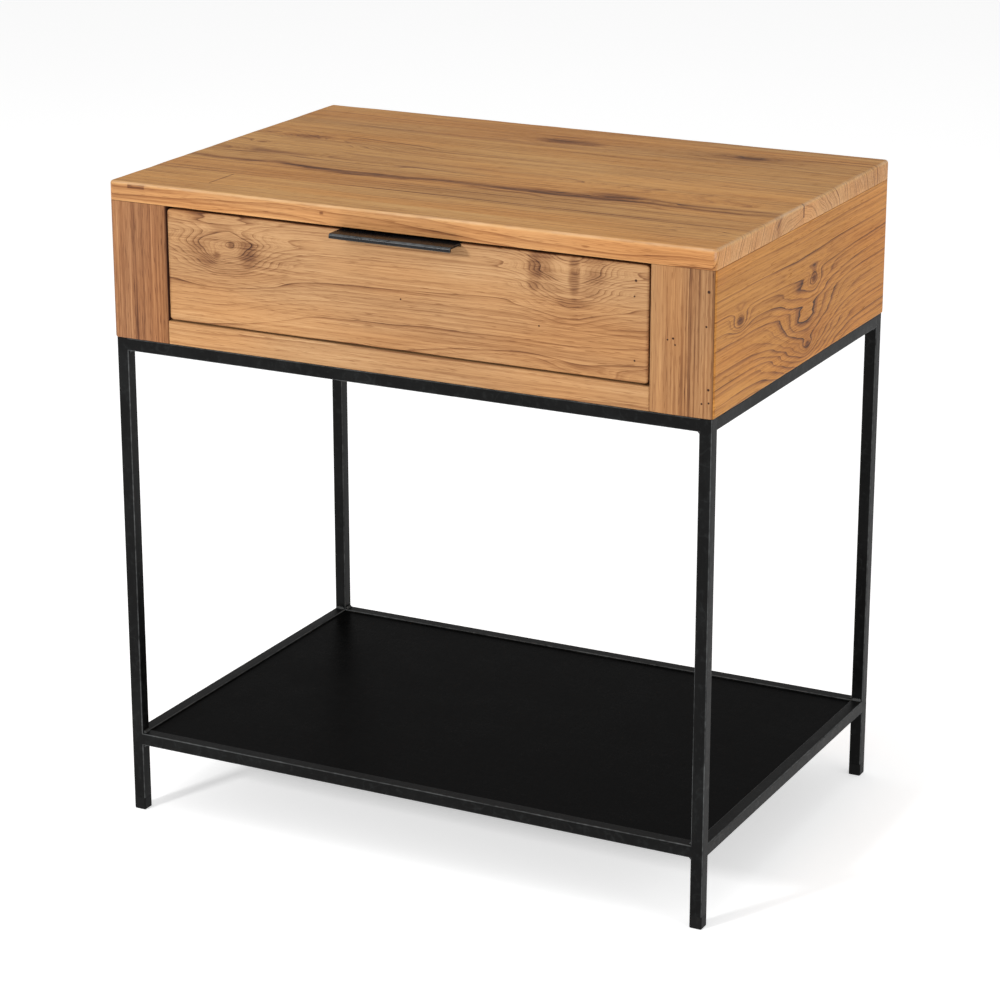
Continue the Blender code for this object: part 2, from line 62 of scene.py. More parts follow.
# Shapes
ARC_STEPS = 6
TOP_CORNER = 0.0042  # rounding of the top board's upright corners
TOP_RIM = 0.0031
BOARD_RIM = 0.0016
BOX_CORNER = 0.0042  # rounding of the box's upright corners
DRAWER_RIM = 0.0014
DRAWER_CORNER = 0.0035
SMALL_RIM = 0.0005
FINE_RIM = 0.0002  # where two boards are glued flush
TUBE_ROUNDING = 0.0013
CAP_RIM = 0.00125
PULL_BEND = 0.0014
PULL_SHEET = 0.002
PULL_LIP = 0.0045
PULL_NOTCH = 0.0024  # depth of the notch that lets the pull cross the drawer front
PULL_RIM = 0.0004
SHELF_CORNER = 0.0008
SHELF_RIMS = (0.0002, 0.0004)  # below and above
JOINT = 0.0003  # gap between the drawer front and the pull behind it
MOST_RUN = 0.012  # longest straight stretch of a worn rim
WEAR_SCALE = 38.0  # how closely the worn patches of a rim follow each other
TOP_WEAR = 0.30  # how uneven a rim is, as a share of its rounding
BOARD_WEAR = 0.35
RAIL_WEAR = 0.30
DRAWER_WEAR = 0.40
WELD_REACH = 0.0032
WELD_RIPPLES = 5
WELD_STEPS = 4  # rows for each ripple, and faces round the fillet
WELD_DEPTH = 0.15  # how deep the ripples are, as a share of the reach
WELD_TAPER = 0.4  # how much a weld thins out over the sixth at each end
WELD_HOLLOW = 0.30  # how far the face of a weld sinks in
SAME_POINT = 1e-7  # corners closer than this are one

# Light and camera
CAMERA_PLACE = (1.3001, -2.5472, 1.2298)
CAMERA_TARGET = (-0.0049, 0.0090, 0.2982)
CAMERA_LENS = 113.97
CAMERA_REACH = 100.0
SENSOR = 36.0
FLOOR_SIZE = 40.0
PAPER_GLOW = 0.52  # keeps the paper white away from the lights

# Black steels: dark and pale coating, roughness and specular level
FRAME_STEEL = ((0.003, 0.003, 0.003), (0.013, 0.014, 0.014), 0.40, 0.08)
PLATE_STEEL = ((0.002, 0.002, 0.002), (0.0045, 0.0045, 0.0045), 0.34, 0.012)
GRIP_STEEL = ((0.004, 0.004, 0.005), (0.012, 0.013, 0.015), 0.30, 0.22)
SCREW_STEEL = ((0.02, 0.02, 0.02), (0.06, 0.06, 0.06), 0.35, 0.5)
EDGE_HIGHLIGHT_AND_WEAR = (0.115, 0.12, 0.12)  # painted highlight with pale wear on the rounded edges of the steel
STEEL_BUMP = 0.00015
# Darkest and palest colour of the other surfaces, and the depth of their bumps
PLASTIC = ((0.005, 0.005, 0.005), (0.014, 0.014, 0.013))
ZINC = ((0.42, 0.43, 0.44), (0.68, 0.70, 0.72))
PAPER = ((0.90, 0.90, 0.90), (0.92, 0.92, 0.92))
PLASTIC_BUMP = 0.0001
ZINC_BUMP = 0.00008
PAPER_ROUGHNESS = 0.9

# Area lights, all aimed at the table: place, side and power
LIGHTS = {
    "key": ((-1.23, -2.95, 1.64), 0.38, 55.0),
    "fill": ((3.2, -0.6, 1.5), 2.4, 22.0),
    "over": ((-0.3, -0.4, 3.2), 2.4, 24.0),
}
WORLD_STRENGTH = 0.43

NOISE_GAIN = 4.0  # spreads a noise texture, which keeps close to its middle, over -1 to 1


# ---------------------------------------------------------------- shader arithmetic


class Signal:
    """A number on its way through a node tree: arithmetic on it adds Math nodes."""

    def __init__(self, socket):
        self.socket = socket
        self.tree = socket.id_data

    def math(self, operation, *others):
        node = self.tree.nodes.new("ShaderNodeMath")
        node.operation = operation
        for socket, value in zip(node.inputs, (self, *others)):
            plug(socket, value)
        return Signal(node.outputs[0])

    def __add__(self, other):
        return self.math("ADD", other)

    def __sub__(self, other):
        return self.math("SUBTRACT", other)

    def __rsub__(self, other):
        return self.math("MULTIPLY_ADD", -1.0, other)

    def __mul__(self, other):
        return self.math("MULTIPLY", other)

    def __truediv__(self, other):
        return self.math("DIVIDE", other)

    __radd__ = __add__
    __rmul__ = __mul__

    def smooth(self, low, high):
        """0 below low and 1 above high, with a smooth step between; low may be the larger."""
        node = self.tree.nodes.new("ShaderNodeMapRange")
        node.interpolation_type = "SMOOTHSTEP"
        plug(node.inputs["Value"], self)
        plug(node.inputs["From Min"], low)
        plug(node.inputs["From Max"], high)
        return Signal(node.outputs["Result"])

    def near(self, place, reach):
        """1 at this value, falling smoothly to 0 at this distance from it."""
        return (self - place).math("ABSOLUTE").smooth(reach, 0.0)

    def between(self, low, high, soft):
        """1 between two values and 0 outside them."""
        return self.smooth(low - soft, low + soft) * self.smooth(high + soft, high - soft)

    def clamped(self):
        return self.math("MAXIMUM", 0.0).math("MINIMUM", 1.0)


def plug(socket, value):
    """Links a signal or a socket into a socket, or sets a plain value on it."""
    if isinstance(value, Signal):
        value = value.socket
    if isinstance(value, bpy.types.NodeSocket):
        socket.id_data.links.new(value, socket)
    else:
        socket.default_value = value


def combine(x, y, z):
    node = x.tree.nodes.new("ShaderNodeCombineXYZ")
    for socket, value in zip(node.inputs, (x, y, z)):
        plug(socket, value)
    return node.outputs[0]


def noise_of(space, stretch, detail=2.0, roughness=0.5, shift=0.0):
    """Noise about zero, mostly within 1 of it, with so many waves a metre along each axis."""
    tree = space.id_data
    scaled = tree.nodes.new("ShaderNodeVectorMath")
    scaled.operation = "MULTIPLY_ADD"
    plug(scaled.inputs[0], space)
    scaled.inputs[1].default_value = stretch
    scaled.inputs[2].default_value = (shift, shift * 1.7, shift * 0.6)
    node = tree.nodes.new("ShaderNodeTexNoise")
    plug(node.inputs["Vector"], scaled.outputs[0])
    node.inputs["Scale"].default_value = 1.0
    node.inputs["Detail"].default_value = detail
    node.inputs["Roughness"].default_value = roughness
    return Signal(node.outputs[0]) * NOISE_GAIN - NOISE_GAIN / 2


def noise_along(value, detail=1.0):
    """Noise about zero that depends on one number."""
    node = value.tree.nodes.new("ShaderNodeTexNoise")
    node.noise_dimensions = "1D"
    plug(node.inputs["W"], value)
    node.inputs["Scale"].default_value = 1.0
    node.inputs["Detail"].default_value = detail
    return Signal(node.outputs[0]) * NOISE_GAIN - NOISE_GAIN / 2


def parts_of(vector):
    """The three numbers of a vector."""
    node = vector.id_data.nodes.new("ShaderNodeSeparateXYZ")
    plug(node.inputs[0], vector)
    return [Signal(socket) for socket in node.outputs]


def random_of(value):
    """Three random numbers from 0 to 1 for each value of a number."""
    node = value.tree.nodes.new("ShaderNodeTexWhiteNoise")
    node.noise_dimensions = "1D"
    plug(node.inputs["W"], value)
    return parts_of(node.outputs["Color"])


def ramp(value, stops):
    """A colour for each value, from (place, colour) stops."""
    node = value.tree.nodes.new("ShaderNodeValToRGB")
    plug(node.inputs[0], value)
    elements = node.color_ramp.elements
    while len(elements) < len(stops):
        elements.new(1.0)
    for element, (place, colour) in zip(elements, stops):
        element.position = place
        element.color = (*colour, 1.0)
    return node.outputs[0]


def mix(factor, first, second):
    """Blends two colours."""
    tree = factor.tree
    node = tree.nodes.new("ShaderNodeMix")
    node.data_type = "RGBA"
    plug(node.inputs["Factor"], factor)
    plug(node.inputs["A"], colour_of(first))
    plug(node.inputs["B"], colour_of(second))
    for socket in node.outputs:
        if socket.type == "RGBA":
            return socket


def colour_of(value):
    return (*value, 1.0) if isinstance(value, tuple) and len(value) == 3 else value


def new_material(name):
    """A material, its Principled shader, and the node of places in the table's frame."""
    made = bpy.data.materials.new(name)
    made.use_nodes = True
    tree = made.node_tree
    place = tree.nodes.new("ShaderNodeTexCoord")
    return made, tree.nodes["Principled BSDF"], place


def add_bump(shader, height, distance, strength):
    """Bumps a shader by a height signal of 0 to 1, which stands for this distance."""
    node = height.tree.nodes.new("ShaderNodeBump")
    node.inputs["Strength"].default_value = strength
    node.inputs["Distance"].default_value = distance
    plug(node.inputs["Height"], height)
    plug(shader.inputs["Normal"], node.outputs[0])


# ---------------------------------------------------------------- teak

# A knot bends the rings round it: where it is along and across the grain, its reach along and
# across, how many rings it lifts, and how dark its heart and the bands beside it are
Knot = namedtuple("Knot", "along across length width lift heart bands", defaults=(0.0,))
# A streak runs along the grain: across, from, to, half width, wander, darkness
Streak = namedtuple("Streak", "across start end width wander dark")
# A smear of dark stain with ragged edges: its middle, half length, half width and darkness
Smear = namedtuple("Smear", "along across length width dark")
# A dark patch between two corners of a box, in along, across and depth
Patch = namedtuple("Patch", "low high dark")
# A worm hole
Hole = namedtuple("Hole", "along across radius")

# Colour for each darkness
TEAK = (
    (0.00, (0.610, 0.368, 0.184)),
    (0.30, (0.452, 0.243, 0.108)),
    (0.55, (0.272, 0.124, 0.051)),
    (0.78, (0.118, 0.045, 0.020)),
    (1.00, (0.036, 0.015, 0.010)),
)
COOL = (0.97, 1.00, 1.02)
WARM = (1.02, 0.95, 0.84)
# pale colour of the rims: pale wear that also paints a highlight there
PALE_WEAR_AND_HIGHLIGHT = (0.74, 0.54, 0.38)
WEAR_AND_HIGHLIGHT_FROM = (0.006, 0.012)  # above the underside: the lower rims get neither pale wear nor painted highlight
EDGE_BAND = (0.0165, 0.0145)  # where the top's face ends and its edges begin, above its underside
RIM_BAND = (0.0034, 0.0006)  # from an edge: where the band of painted shade, painted highlight and pale wear begins, and where it is full
# where the painted gap shade lies: near the narrow faces, and behind the front
GAP_RIM = (0.0012, 0.0002)
GAP_DEPTH = (0.0006, 0.0022)
TEAK_ROUGHNESS = 0.47
TEAK_SPECULAR = 0.12
TEAK_BUMP = 0.00022

# Growth rings. Each one runs from 0 to 1, and darkens towards its end
LATE_FROM = 0.35
LINE_FROM = 0.80
RING_END = 0.93
WEAKEST_RING = 0.25
END_RINGS = 0.5  # how much rings fade on end grain
FINE_RINGS = 3.7  # fine lines in each growth ring
STAVE_SHIFT = 3.7  # how far apart along the log two staves of one board were cut
STAVE_SPREAD = (0.09, 0.05)  # and how far apart across it and into it
CURL_SIZE = 0.0003
KNOT_CURL = 0.0004
WARP_INWARDS = 1.5
RING_PACE = 0.43  # how often the spacing of the rings changes, and by how many rings
RING_DRIFT = 0.6

# Knots, streaks and joints
KNOT_RAGGED = 0.3
KNOT_OUTLINE = 0.45
HEART_FROM = 0.72
HEART_RAGGED = 0.16
KNOT_BAND = (0.42, 0.80, 0.14)  # from, to and softness of the dark bands beside a knot
BAND_RAGGED = 0.25
STREAK_SOFT = 1.6  # how far a streak's dark fades out, in half widths
STREAK_FADE = 0.012
SEAM_WIDTH = 0.0007  # half width of the glue line between two staves
BUTT_WIDTH = 0.0011
BUTT_SOFT = 0.0004
PATCH_SOFT = (0.0008, 0.0005, 0.0008)

# How much darker each layer makes the wood
PATCH_SHADE = 0.08
BAND_SHADE = 0.06
LATE_SHADE = 0.55
LINE_SHADE = 0.45
FINE_SHADE = 0.07
FIBRE_SHADE = 0.10
STRAND_SHADE = 0.10
PORE_SHADE = 0.26
KNOTTY_SHADE = 0.04
WORM_SHADE = 0.70
SEAM_SHADE = 0.10
BUTT_SHADE = 0.50

# Layers of noise: waves a metre along, across and into the board, detail, roughness and place
WARP = ((2.6, 10.0, 10.0), 3.0, 0.42, 0.0)
CURL = ((14.0, 100.0, 100.0), 3.0, 0.55, 4.0)
PATCHES = ((2.6, 11.0, 11.0), 2.0, 0.5, 9.0)
BANDS = ((5.0, 90.0, 90.0), 2.0, 0.6, 2.0)
FIBRES = ((16.0, 1000.0, 1000.0), 2.0, 0.65, 5.0)
STRANDS = ((4.0, 420.0, 420.0), 2.0, 0.6, 7.0)
PORES = ((70.0, 1400.0, 1400.0), 1.0, 0.5, 3.0)
WARMTH = ((4.0, 17.0, 17.0), 2.0, 0.5, 12.0)
KNOT_EDGES = ((24.0, 60.0, 60.0), 2.0, 0.5, 15.0)
STREAK_EDGES = ((20.0, 150.0, 150.0), 2.0, 0.6, 21.0)
STREAK_WANDER = ((9.0, 1.0, 1.0), 3.0, 0.5)
SMEAR_EDGES = ((45.0, 130.0, 130.0), 3.0, 0.6, 27.0)
# the next is the unevenness of the band of painted shade, painted highlight and pale wear on the rims
RIM_UNEVENNESS = ((14.0, 14.0, 14.0), 3.0, 0.7, 33.0)
# The same for steel, plastic, zinc and paper, along X, Y and Z
STEEL_CLOUD = ((16.0, 16.0, 16.0), 3.0, 0.6)
STEEL_MOTTLE = ((170.0, 170.0, 170.0), 2.0, 0.6, 3.0)
STEEL_GRAIN = ((1500.0, 1500.0, 1500.0), 1.0, 0.5, 6.0)
SCRATCHES_ALONG_X = ((30.0, 520.0, 35.0), 1.0, 0.5, 11.0)
SCRATCHES_ALONG_Y = ((480.0, 26.0, 40.0), 1.0, 0.5, 17.0)
PLASTIC_GRAIN = ((900.0, 900.0, 900.0), 2.0, 0.6)
PLASTIC_DUST = ((120.0, 120.0, 40.0), 3.0, 0.6, 5.0)
ZINC_ROLLED = ((900.0, 30.0, 900.0), 2.0, 0.6)
ZINC_CLOUD = ((40.0, 22.0, 40.0), 3.0, 0.6, 4.0)
PAPER_CLOUD = ((0.7, 0.7, 0.7), 2.0, 0.5)
EDGE_TURN = (0.99, 0.88)  # a normal's largest part where a rounded edge starts and where it is full
END_TURN = (0.6, 0.95)  # a normal's part along the grain where end grain starts and is full


class Board:
    """How one teak board was cut from its log.

    Along, across and depth are measured in metres from the low corner of its CAD node. The
    pith is a line near the board, in across and depth, that leans by tilt along the grain.
    """

    def __init__(self, node, grain, across, pith, spacing, tone, tilt=0.0, seed=0.0):
        self.low, self.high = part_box(node)
        self.size = self.high - self.low
        self.grain = AXES[grain]
        self.across = AXES[across]
        self.depth = 3 - self.grain - self.across
        self.pith = pith
        self.spacing = spacing
        self.tone = tone
        self.tilt = tilt
        self.seed = seed
        self.bend = 0.011  # how far the warp of the log moves its rings
        self.rings = 0.34  # how dark the rings are
        self.tint = (1.0, 1.0, 1.0)
        self.knots = ()
        self.streaks = ()
        self.holes = ()
        self.smears = ()
        self.patches = ()
        self.joints = ()  # where two staves meet, across
        self.stave_tones = ()  # how much darker each stave is
        self.butt_joints = ()  # end to end joints: along, and from and to across
        self.quiet = None  # across: where the rings start to show, and where they are full
        self.painted_rim_shade = 0.0  # painted shade along the edges; below zero, a painted highlight
        self.painted_gap_shade = 0.0  # painted shade on the narrow faces, where they line a gap
        self.wear_and_painted_light = 0.0  # how pale the edges are: pale wear and a painted highlight
        self.end_light = 0.0  # how much lighter end grain is, and how much darker its rings
        self.end_rings = 0.0
        # the top's edges take back part of its tint, which is painted to offset the pale sheen that the
        # lights lay on its face
        self.edge_tint = None


def place_on(board, place):
    """Along, across and depth of a point on a board."""
    moved = place.id_data.nodes.new("ShaderNodeVectorMath")
    moved.operation = "SUBTRACT"
    plug(moved.inputs[0], place.outputs["Object"])
    moved.inputs[1].default_value = board.low
    parts = parts_of(moved.outputs[0])
    return [parts[axis] for axis in (board.grain, board.across, board.depth)]


def teak(name, board):
    """Oiled teak, from the growth rings of the log that a board was cut from."""
    made, shader, place = new_material(name)
    u, v, w = place_on(board, place)
    stave, stave_tone = staves_of(board, v)
    lot = random_of(stave + board.seed)
    space = combine(u + stave * STAVE_SHIFT + board.seed, v, w)
    knotty, lift, heart = knots_of(board, u, v, space)
    rings = rings_of(board, u, v, w, space, lot, knotty) + lift
    phase = rings.math("FRACT")
    strong = random_of(rings.math("FLOOR"))[0].smooth(0.1, 1.0)
    strong = strong * (1.0 - WEAKEST_RING) + WEAKEST_RING
    late = phase.smooth(LATE_FROM, RING_END) * phase.smooth(1.0, RING_END)
    line = phase.smooth(LINE_FROM, RING_END) * phase.smooth(1.0, RING_END)
    fine = (rings * FINE_RINGS).math("FRACT").smooth(0.1, 0.9)

    patchy = noise_of(space, *PATCHES)
    along = noise_of(space, *BANDS)
    fibre = noise_of(space, *FIBRES)
    strand = noise_of(space, *STRANDS)
    pores = noise_of(space, *PORES).smooth(0.25, 0.75)
    pores = pores * (0.4 + phase.smooth(0.5, 0.0) * 0.6)
    shown = (0.72 + along * 0.35 + strand * 0.20 + knotty * 0.5).clamped()
    if board.quiet:
        shown = shown * v.smooth(*board.quiet)

    dark = board.tone + stave_tone + patchy * PATCH_SHADE + along * BAND_SHADE
    ends = end_grain(board, place)
    ringed = (late * LATE_SHADE + line * LINE_SHADE) * strong * shown * board.rings
    dark = dark + ringed * (1.0 - ends * END_RINGS)
    dark = dark + (fine - 0.5) * FINE_SHADE * shown
    dark = dark + fibre * FIBRE_SHADE + strand * STRAND_SHADE + pores * PORE_SHADE
    dark = dark + heart + knotty * KNOTTY_SHADE
    dark = dark + streaks_of(board, u, v, space) + smears_of(board, u, v, w, space)
    pits = pits_of(board, u, v)
    # worm holes, and the rim band: painted shade along the rims, turned into a painted highlight where
    # its strength is below zero
    dark = dark + pits * WORM_SHADE + rims_of(board, u, v, w, board.painted_rim_shade)
    # painted shade on the narrow faces that line the gap round the drawer
    dark = dark + gap_sides_of(board, u, v, w) * board.painted_gap_shade
    dark = dark + ends * (late * strong * board.end_rings - board.end_light)
    colour = ramp(dark, TEAK)
    warmth = noise_of(space, *WARMTH).smooth(-0.6, 0.8)
    colour = mix(warmth, mix_tint(colour, board.tint, COOL), mix_tint(colour, board.tint, WARM))
    # pale rims: pale wear with a painted highlight, on the upper rims only
    if board.wear_and_painted_light:
        wear_and_painted_light = rims_of(board, u, v, w, board.wear_and_painted_light) * w.smooth(*WEAR_AND_HIGHLIGHT_FROM)
        colour = mix(wear_and_painted_light.clamped(), colour, PALE_WEAR_AND_HIGHLIGHT)
    # the top's face is painted warmer than its edges, to offset the pale sheen that the lights lay on it
    if board.edge_tint:
        colour = mix(w.smooth(*EDGE_BAND), colour, mix_tint(colour, board.edge_tint))
    plug(shader.inputs["Base Color"], colour)

    gloss = TEAK_ROUGHNESS + fibre * 0.05 - late * strong * 0.05 + pores * 0.15 + patchy * 0.03
    plug(shader.inputs["Roughness"], gloss.clamped())
    shader.inputs["Specular IOR Level"].default_value = TEAK_SPECULAR
    height = 0.5 + fibre * 0.12 + strand * 0.08 + late * strong * 0.2 - pores * 0.5 - pits * 1.5
    add_bump(shader, height, TEAK_BUMP, 0.6)
    return made


def rings_of(board, u, v, w, space, lot, knotty):
    """How many growth rings lie between the pith and each point."""
    warp = noise_of(space, *WARP) * board.bend
    curl = noise_of(space, *CURL) * (CURL_SIZE + knotty * KNOT_CURL)
    sideways = v - board.pith[0] + warp + curl
    inwards = w - board.pith[1] + u * board.tilt + warp * WARP_INWARDS + curl
    if board.joints:
        sideways = sideways + (lot[0] - 0.5) * STAVE_SPREAD[0]
        inwards = inwards + (lot[1] - 0.5) * STAVE_SPREAD[1]
    rings = (sideways * sideways + inwards * inwards).math("SQRT") / board.spacing
    return rings + noise_along(rings * RING_PACE) * RING_DRIFT


def mix_tint(colour, *tints):
    """A colour multiplied by plain tints."""
    product = [math.prod(parts) for parts in zip(*tints)]
    node = colour.id_data.nodes.new("ShaderNodeVectorMath")
    node.operation = "MULTIPLY"
    plug(node.inputs[0], colour)
    node.inputs[1].default_value = product
    return node.outputs[0]


def staves_of(board, v):
    """The number of the stave that a point is in, and that stave's tone."""
    stave = v * 0.0
    tone = v * 0.0
    for place, joint in enumerate(board.joints):
        beyond = v.math("GREATER_THAN", joint)
        stave = stave + beyond
        tone = tone + beyond * (board.stave_tones[place + 1] - board.stave_tones[place])
        tone = tone + v.near(joint, SEAM_WIDTH) * SEAM_SHADE
    if board.joints:
        tone = tone + board.stave_tones[0]
    return stave, tone


def knots_of(board, u, v, space):
    """How knotty each point is, how far the rings are lifted there, and the knots' dark hearts."""
    knotty = u * 0.0
    lift = u * 0.0
    heart = u * 0.0
    uneven = noise_of(space, *KNOT_EDGES) * KNOT_RAGGED
    for knot in board.knots:
        beside = ((u - knot.along) / knot.length).math("POWER", 2.0)
        far = beside + ((v - knot.across) / knot.width).math("POWER", 2.0)
        sides = beside / (far + 0.02)
        far = far + uneven * far.math("MINIMUM", 1.0) * KNOT_OUTLINE
        bell = (far * -1.0).math("EXPONENT")
        knotty = knotty + bell
        lift = lift + bell * knot.lift
        heart = heart + (bell + uneven * HEART_RAGGED).smooth(HEART_FROM, 1.0) * knot.heart
        if knot.bands:
            band = (bell + uneven * BAND_RAGGED).between(*KNOT_BAND) * sides
            heart = heart + band * (0.7 + uneven * 1.5) * knot.bands
    return knotty, lift, heart


def streaks_of(board, u, v, space):
    """The dark lines that run along the grain."""
    dark = u * 0.0
    uneven = noise_of(space, *STREAK_EDGES) * 0.3
    wander = noise_of(combine(u, u * 0.0, u * 0.0), *STREAK_WANDER, board.seed + 1.0) * 0.25
    for streak in board.streaks:
        line = v + wander * streak.wander
        inside = line.near(streak.across, streak.width * STREAK_SOFT)
        inside = inside * u.between(streak.start, streak.end, STREAK_FADE)
        dark = dark + inside * (0.75 + uneven * 1.6) * streak.dark
    for along, start, end in board.butt_joints:
        joint = u.near(along, BUTT_WIDTH) * v.between(start, end, BUTT_SOFT)
        dark = dark + joint * BUTT_SHADE
    return dark


def smears_of(board, u, v, w, space):
    """Stains with ragged edges, and small dark patches."""
    dark = u * 0.0
    ragged = noise_of(space, *SMEAR_EDGES)
    for smear in board.smears:
        far = ((u - smear.along) / smear.length).math("POWER", 2.0)
        far = far + ((v - smear.across) / smear.width).math("POWER", 2.0)
        dark = dark + (far + ragged * 0.4).smooth(1.3, 0.0) * smear.dark
    for patch in board.patches:
        inside = 0.8 + ragged * 0.2
        for value, low, high, soft in zip((u, v, w), patch.low, patch.high, PATCH_SOFT):
            inside = inside * value.between(low, high, soft)
        dark = dark + inside * patch.dark
    return dark


def pits_of(board, u, v):
    """Worm holes, 1 inside and 0 outside."""
    pits = u * 0.0
    for hole in board.holes:
        far = (u - hole.along) * (u - hole.along) + (v - hole.across) * (v - hole.across)
        pits = pits + far.math("SQRT").smooth(hole.radius * 1.3, hole.radius * 0.5)
    return pits


def rims_of(board, u, v, w, strength):
    """A band along the edges of the board: painted shade where it darkens, and a painted highlight with
    pale wear where it lightens.
    """
    if strength == 0.0:
        return u * 0.0
    gaps = []
    for value, axis in ((u, board.grain), (v, board.across), (w, board.depth)):
        gaps.append(value.math("MINIMUM", board.size[axis] - value))
    least = gaps[0].math("MINIMUM", gaps[1]).math("MINIMUM", gaps[2])
    most = gaps[0].math("MAXIMUM", gaps[1]).math("MAXIMUM", gaps[2])
    second = gaps[0] + gaps[1] + gaps[2] - least - most
    wear_and_painted_light = 0.75 + noise_of(combine(u, v, w), *RIM_UNEVENNESS) * 0.6
    return second.smooth(*RIM_BAND) * wear_and_painted_light * strength


def gap_sides_of(board, u, v, w):
    """1 on the narrow faces of a board, behind its front rim, where a gap is darkened by painted shade.
    """
    beside = u.math("MINIMUM", board.size[board.grain] - u)
    above = v.math("MINIMUM", board.size[board.across] - v)
    return beside.math("MINIMUM", above).smooth(*GAP_RIM) * w.smooth(*GAP_DEPTH)


def end_grain(board, place):
    """1 on faces that are cut across the grain."""
    return parts_of(place.outputs["Normal"])[board.grain].math("ABSOLUTE").smooth(*END_TURN)


# ---------------------------------------------------------------- steel, plastic and zinc


def steel(name, dark, pale, roughness, specular):
    """Black satin coating on steel: mottled, rubbed and faintly scratched, with a painted highlight on
    its rounded edges.
    """
    made, shader, place = new_material(name)
    space = place.outputs["Object"]
    cloud = noise_of(space, *STEEL_CLOUD)
    mottle = noise_of(space, *STEEL_MOTTLE)
    grain = noise_of(space, *STEEL_GRAIN)
    scratch = scratches(space)
    rubbed = cloud.smooth(-0.2, 0.8) * 0.4 + mottle.smooth(0.1, 0.9) * 0.5 + scratch * 0.5
    colour = mix(rubbed.clamped(), dark, pale)
    # painted highlight with pale wear along the rounded edges
    wear_and_painted_light = edges_of(place) * (0.50 + cloud * 0.30 + mottle * 0.30)
    plug(shader.inputs["Base Color"], mix(wear_and_painted_light.clamped(), colour, EDGE_HIGHLIGHT_AND_WEAR))
    gloss = roughness + cloud * 0.06 + mottle * 0.05 + grain * 0.03 - scratch * 0.06
    plug(shader.inputs["Roughness"], gloss.clamped())
    shader.inputs["Specular IOR Level"].default_value = specular
    height = 0.5 + mottle * 0.15 + grain * 0.12 - scratch * 0.2
    add_bump(shader, height, STEEL_BUMP, 0.5)
    return made


def edges_of(place):
    """1 on a rounded edge between two flat faces that lie along the axes."""
    x, y, z = (part.math("ABSOLUTE") for part in parts_of(place.outputs["Normal"]))
    return x.math("MAXIMUM", y).math("MAXIMUM", z).smooth(*EDGE_TURN)


def scratches(space):
    """Thin lines in two directions, 1 on a scratch."""
    first = noise_of(space, *SCRATCHES_ALONG_X)
    second = noise_of(space, *SCRATCHES_ALONG_Y)
    return (first.near(0.52, 0.04) + second.near(0.48, 0.04)).clamped()


def moulded_plastic(name):
    """Black plastic with a fine moulded grain."""
    made, shader, place = new_material(name)
    space = place.outputs["Object"]
    grain = noise_of(space, *PLASTIC_GRAIN)
    dust = noise_of(space, *PLASTIC_DUST).smooth(0.2, 1.0)
    plug(shader.inputs["Base Color"], mix(dust * 0.5, *PLASTIC))
    plug(shader.inputs["Roughness"], (0.5 + grain * 0.08).clamped())
    shader.inputs["Specular IOR Level"].default_value = 0.10
    add_bump(shader, grain * 0.25 + 0.5, PLASTIC_BUMP, 0.4)
    return made


def zinc_plate(name):
    """Bright zinc on rolled steel, with fine lines along the sheet."""
    made, shader, place = new_material(name)
    space = place.outputs["Object"]
    rolled = noise_of(space, *ZINC_ROLLED)
    cloud = noise_of(space, *ZINC_CLOUD)
    tone = (0.5 + rolled * 0.15 + cloud * 0.22).clamped()
    plug(shader.inputs["Base Color"], mix(tone, *ZINC))
    shader.inputs["Metallic"].default_value = 1.0
    plug(shader.inputs["Roughness"], (0.30 + rolled * 0.06 + cloud * 0.05).clamped())
    add_bump(shader, rolled * 0.25 + 0.5, ZINC_BUMP, 0.4)
    return made


def studio_paper(name):
    """Plain pale paper."""
    made, shader, place = new_material(name)
    cloud = noise_of(place.outputs["Object"], *PAPER_CLOUD)
    tone = (0.5 + cloud * 0.4).clamped()
    plug(shader.inputs["Base Color"], mix(tone, *PAPER))
    shader.inputs["Roughness"].default_value = PAPER_ROUGHNESS
    shader.inputs["Specular IOR Level"].default_value = 0.1
    shader.inputs["Emission Color"].default_value = (1.0, 1.0, 1.0, 1.0)
    shader.inputs["Emission Strength"].default_value = PAPER_GLOW
    return made


# ---------------------------------------------------------------- shapes


def outline(corners):
    """A closed outline through (x, y, radius) corners, each one rounded by its radius."""
    points = []
    for place, (x, y, radius) in enumerate(corners):
        corner = Vector((x, y))
        into = (corner - Vector(corners[place - 1][:2])).normalized()
        out = (Vector(corners[(place + 1) % len(corners)][:2]) - corner).normalized()
        if radius == 0:
            points.append(corner)
            continue
        turn = math.atan2(into.x * out.y - into.y * out.x, into.dot(out))
        start = corner - into * radius * math.tan(abs(turn) / 2)
        centre = corner + (out - into).normalized() * radius / math.cos(turn / 2)
        for step in range(ARC_STEPS + 1):
            arm = start - centre
            arm.rotate(Matrix.Rotation(turn * step / ARC_STEPS, 2))
            points.append(centre + arm)
    return points


def rectangle(low, high, radius):
    """A rounded rectangle between two corners of a plane."""
    return outline([
        (low[0], low[1], radius),
        (high[0], low[1], radius),
        (high[0], high[1], radius),
        (low[0], high[1], radius),
    ])


def with_short_runs(points, closed):
    """The same outline with no straight run longer than MOST_RUN."""
    fine = []
    for point, after in zip(points, points[1:] + points[:1] if closed else points[1:]):
        count = max(1, math.ceil((after - point).length / MOST_RUN))
        fine += [point.lerp(after, step / count) for step in range(count)]
    return fine if closed else [*fine, points[-1]]


def outward(points, closed, turn):
    """For each point, the way that a wall through it moves outwards, longer at a sharp corner."""
    ways = []
    for place, point in enumerate(points):
        edges = []
        if place or closed:
            edges.append((point - points[place - 1]).normalized())
        if closed or place < len(points) - 1:
            edges.append((points[(place + 1) % len(points)] - point).normalized())
        first, second = (Vector((edge.y, -edge.x)) * turn for edge in (edges[0], edges[-1]))
        ways.append((first + second) / (1.0 + first.dot(second)))
    return ways


